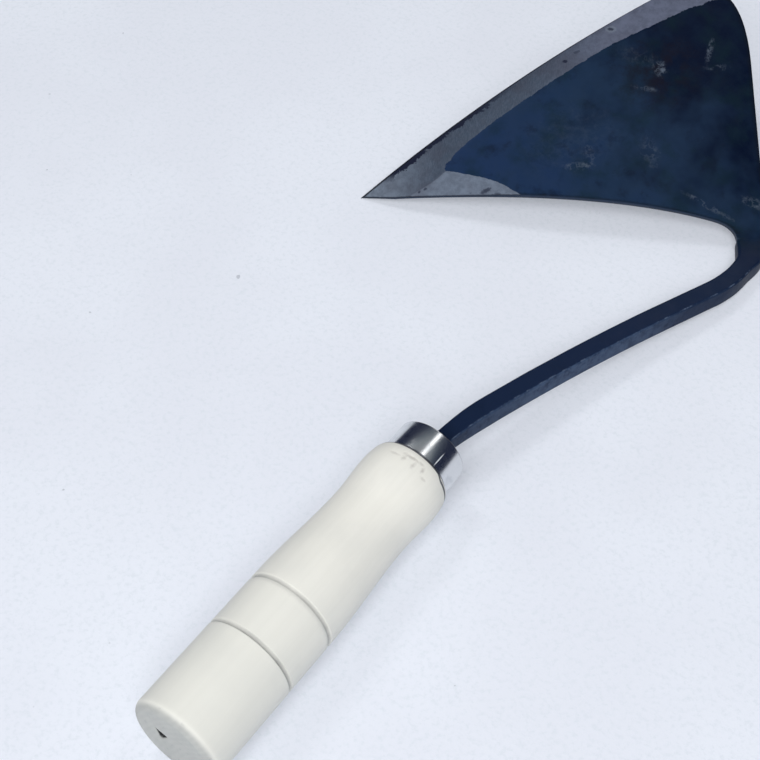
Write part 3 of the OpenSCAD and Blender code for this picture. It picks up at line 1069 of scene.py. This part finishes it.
# A faint seam where the two bevels meet, and a dark line along the ground edges.
apart = maths(tree, "ABSOLUTE", maths(tree, "SUBTRACT", over_long, over_point))
seam = times(
    tree, between(tree, apart, 0.12, 0.0), between(tree, plate_x, -106.0, -111.0)
)
bright = painted(tree, bright, seam, 0.35, rgb(0.07, 0.08, 0.11))
cut_line = between(tree, maths(tree, "MULTIPLY_ADD", teeth, 0.8, from_rim), 1.1, 0.5)
bright = painted(tree, bright, cut_line, 0.85, rgb(0.014, 0.017, 0.026))
tree.links.new(blend(tree, on_ground, navy, bright), shader.inputs["Base Color"])
shiny = times(tree, on_ground, maths(tree, "SUBTRACT", 1.0, pitted, clamp=True))
tree.links.new(times(tree, shiny, 0.35), shader.inputs["Metallic"])
scale_rough = maths(tree, "MULTIPLY_ADD", mottle, 0.1, 0.32)
ground_rough = maths(tree, "MULTIPLY_ADD", stone, 0.1, 0.48)
rough = add(tree, "Mix", {0: shiny, 2: scale_rough, 3: ground_rough}, data_type="FLOAT")
tree.links.new(rough.outputs[0], shader.inputs["Roughness"])
crust = cloud(tree, mm, 0.9, 6.0, 0.65)
forged_relief = maths(tree, "MULTIPLY_ADD", mottle, 1.4, crust)
forged_relief = maths(tree, "MULTIPLY_ADD", scuffed, 1.2, forged_relief)
ground_relief = maths(tree, "MULTIPLY_ADD", fine_stone, 0.35, times(tree, stone, 0.5))
ground_relief = maths(tree, "MULTIPLY_ADD", pitted, -1.5, ground_relief)
relief = add(tree, "Mix", {0: on_ground, 2: forged_relief, 3: ground_relief}, data_type="FLOAT")
dented(tree, shader, relief.outputs[0], 0.25, 0.0001)
head.data.materials.append(scale)

# Floor
# The pale matt surface that the hoe lies on, a square far wider than the photograph
# shows. It isn't part of the hoe.
FLOOR_HEIGHT = -16.02
FLOOR_HALF_WIDTH = 12  # metres
bm = bmesh.new()
bmesh.ops.create_grid(bm, x_segments=1, y_segments=1, size=FLOOR_HALF_WIDTH)
bmesh.ops.translate(bm, verts=bm.verts, vec=(0, 0.2, FLOOR_HEIGHT / 1000))
floor_mesh = bpy.data.meshes.new("floor")
bm.to_mesh(floor_mesh)
bm.free()
floor = bpy.data.objects.new("floor", floor_mesh)
bpy.context.scene.collection.objects.link(floor)
pale, tree, shader, mm = new_material("pale_floor", Roughness=0.8, Specular_IOR_Level=0.2)
patches = between(tree, cloud(tree, mm, 0.014, 2.0, 0.5), 0.35, 0.65)
colour = blend(tree, patches, rgb(0.785, 0.815, 0.89), rgb(0.81, 0.845, 0.92))
grains = cloud(tree, mm, 0.55, 4.0, 0.7)
colour = painted(tree, colour, between(tree, grains, 0.46, 0.70), 0.6, rgb(0.705, 0.755, 0.82))
dust = between(tree, cloud(tree, mm, 0.16, 2.0, 0.5), 0.79, 0.81)
colour = painted(tree, colour, dust, 0.4, rgb(0.20, 0.22, 0.26))
tree.links.new(colour, shader.inputs["Base Color"])
dented(tree, shader, grains, 0.3, 0.0002)
# The floor glows a little where it is seen, so that the shadows on it stay pale.
glow = add(tree, "Emission", {"Color": colour, "Strength": 1.0}).outputs[0]
ray = add(tree, "LightPath").outputs
seen = times(tree, strongest(tree, [ray["Is Camera Ray"], ray["Is Glossy Ray"]]), 0.3)
surface = add(tree, "MixShader", {0: seen, 1: shader.outputs[0], 2: glow}).outputs[0]
tree.links.new(surface, tree.nodes["Material Output"].inputs["Surface"])
floor_mesh.materials.append(pale)

# Light
# A large soft lamp behind the butt, a small one on the left, a narrow strip ahead that
# streaks the ferrule and a faint one beyond the blade, in a dim room that is pale behind
# the camera.
AIM = Vector((0.0, 0.2, 0.0))


def soft_light(name, direction, distance, width, length, power):
    """A rectangle of light that faces the hoe; its length runs along the handle."""
    lamp = bpy.data.lights.new(name, "AREA")
    lamp.shape = "RECTANGLE"
    lamp.size, lamp.size_y = width, length
    lamp.energy = power
    light = bpy.data.objects.new(name, lamp)
    bpy.context.scene.collection.objects.link(light)
    away = Vector(direction).normalized()
    across = Vector((0, 1, 0)).cross(away).normalized()
    axes = Matrix((across, away.cross(across), away)).transposed().to_4x4()
    light.matrix_world = Matrix.Translation(AIM + away * distance) @ axes


soft_light("window", (-0.18, 0.80, 0.57), 1.6, 0.42, 0.42, 1.3)
soft_light("side_box", (-0.52, 0.10, 0.85), 1.4, 0.3, 0.3, 2.9)
soft_light("front_box", (0.145, 0.515, 0.845), 1.3, 0.21, 1.15, 1.35)
soft_light("back_box", (0.28, -0.58, 0.76), 1.5, 0.9, 0.9, 16.0)
room = bpy.data.worlds.new("room")
bpy.context.scene.world = room
room.use_nodes = True
tree = room.node_tree
_, ahead, upward = axes_of(tree, add(tree, "TexCoord").outputs["Generated"])
rise = maths(tree, "MULTIPLY_ADD", ahead, -0.5, upward)
ramp = add(tree, "ValToRGB", {"Fac": times(tree, rise, 0.89)})
stops = ramp.color_ramp.elements
stops[0].position, stops[0].color = 0.27, rgb(0.016, 0.022, 0.05)
stops[1].position, stops[1].color = 1.0, rgb(0.2, 0.2, 0.21)
for place, colour in (
    (0.45, rgb(0.07, 0.09, 0.12)),
    (0.535, rgb(0.27, 0.30, 0.32)),
    (0.64, rgb(0.28, 0.29, 0.31)),
    (0.74, rgb(0.11, 0.12, 0.14)),
    (0.89, rgb(0.09, 0.10, 0.12)),
):
    stops.new(place).color = colour
behind = between(tree, ahead, -0.35, -0.7)
around = blend(tree, behind, ramp.outputs[0], rgb(0.80, 0.81, 0.83))
tree.links.new(around, tree.nodes["Background"].inputs["Color"])

# Camera
# The photographer stands behind the butt, to its right, and looks down at the hoe at
# about 50 degrees with a short telephoto lens.
CAMERA_AT = (0.1638, -0.12294, 0.40328)
CAMERA_FORWARD = Vector((-0.37448, 0.51504, -0.77104))
CAMERA_RIGHT = Vector((0.80880, 0.58808, 0.0))
PICTURE_WIDTH, FOCAL_LENGTH = 760, 1500  # pixels
SENSOR_WIDTH = 36.0
camera_data = bpy.data.cameras.new("camera")
camera_data.sensor_width = SENSOR_WIDTH
camera_data.lens = SENSOR_WIDTH * FOCAL_LENGTH / PICTURE_WIDTH
camera_data.clip_start, camera_data.clip_end = 0.02, 60
camera = bpy.data.objects.new("camera", camera_data)
bpy.context.scene.collection.objects.link(camera)
axes = Matrix((CAMERA_RIGHT, CAMERA_RIGHT.cross(CAMERA_FORWARD), -CAMERA_FORWARD))
camera.matrix_world = Matrix.Translation(CAMERA_AT) @ axes.transposed().to_4x4()
bpy.context.scene.camera = camera
bpy.context.scene.view_settings.view_transform = "Standard"

bpy.context.view_layer.update()
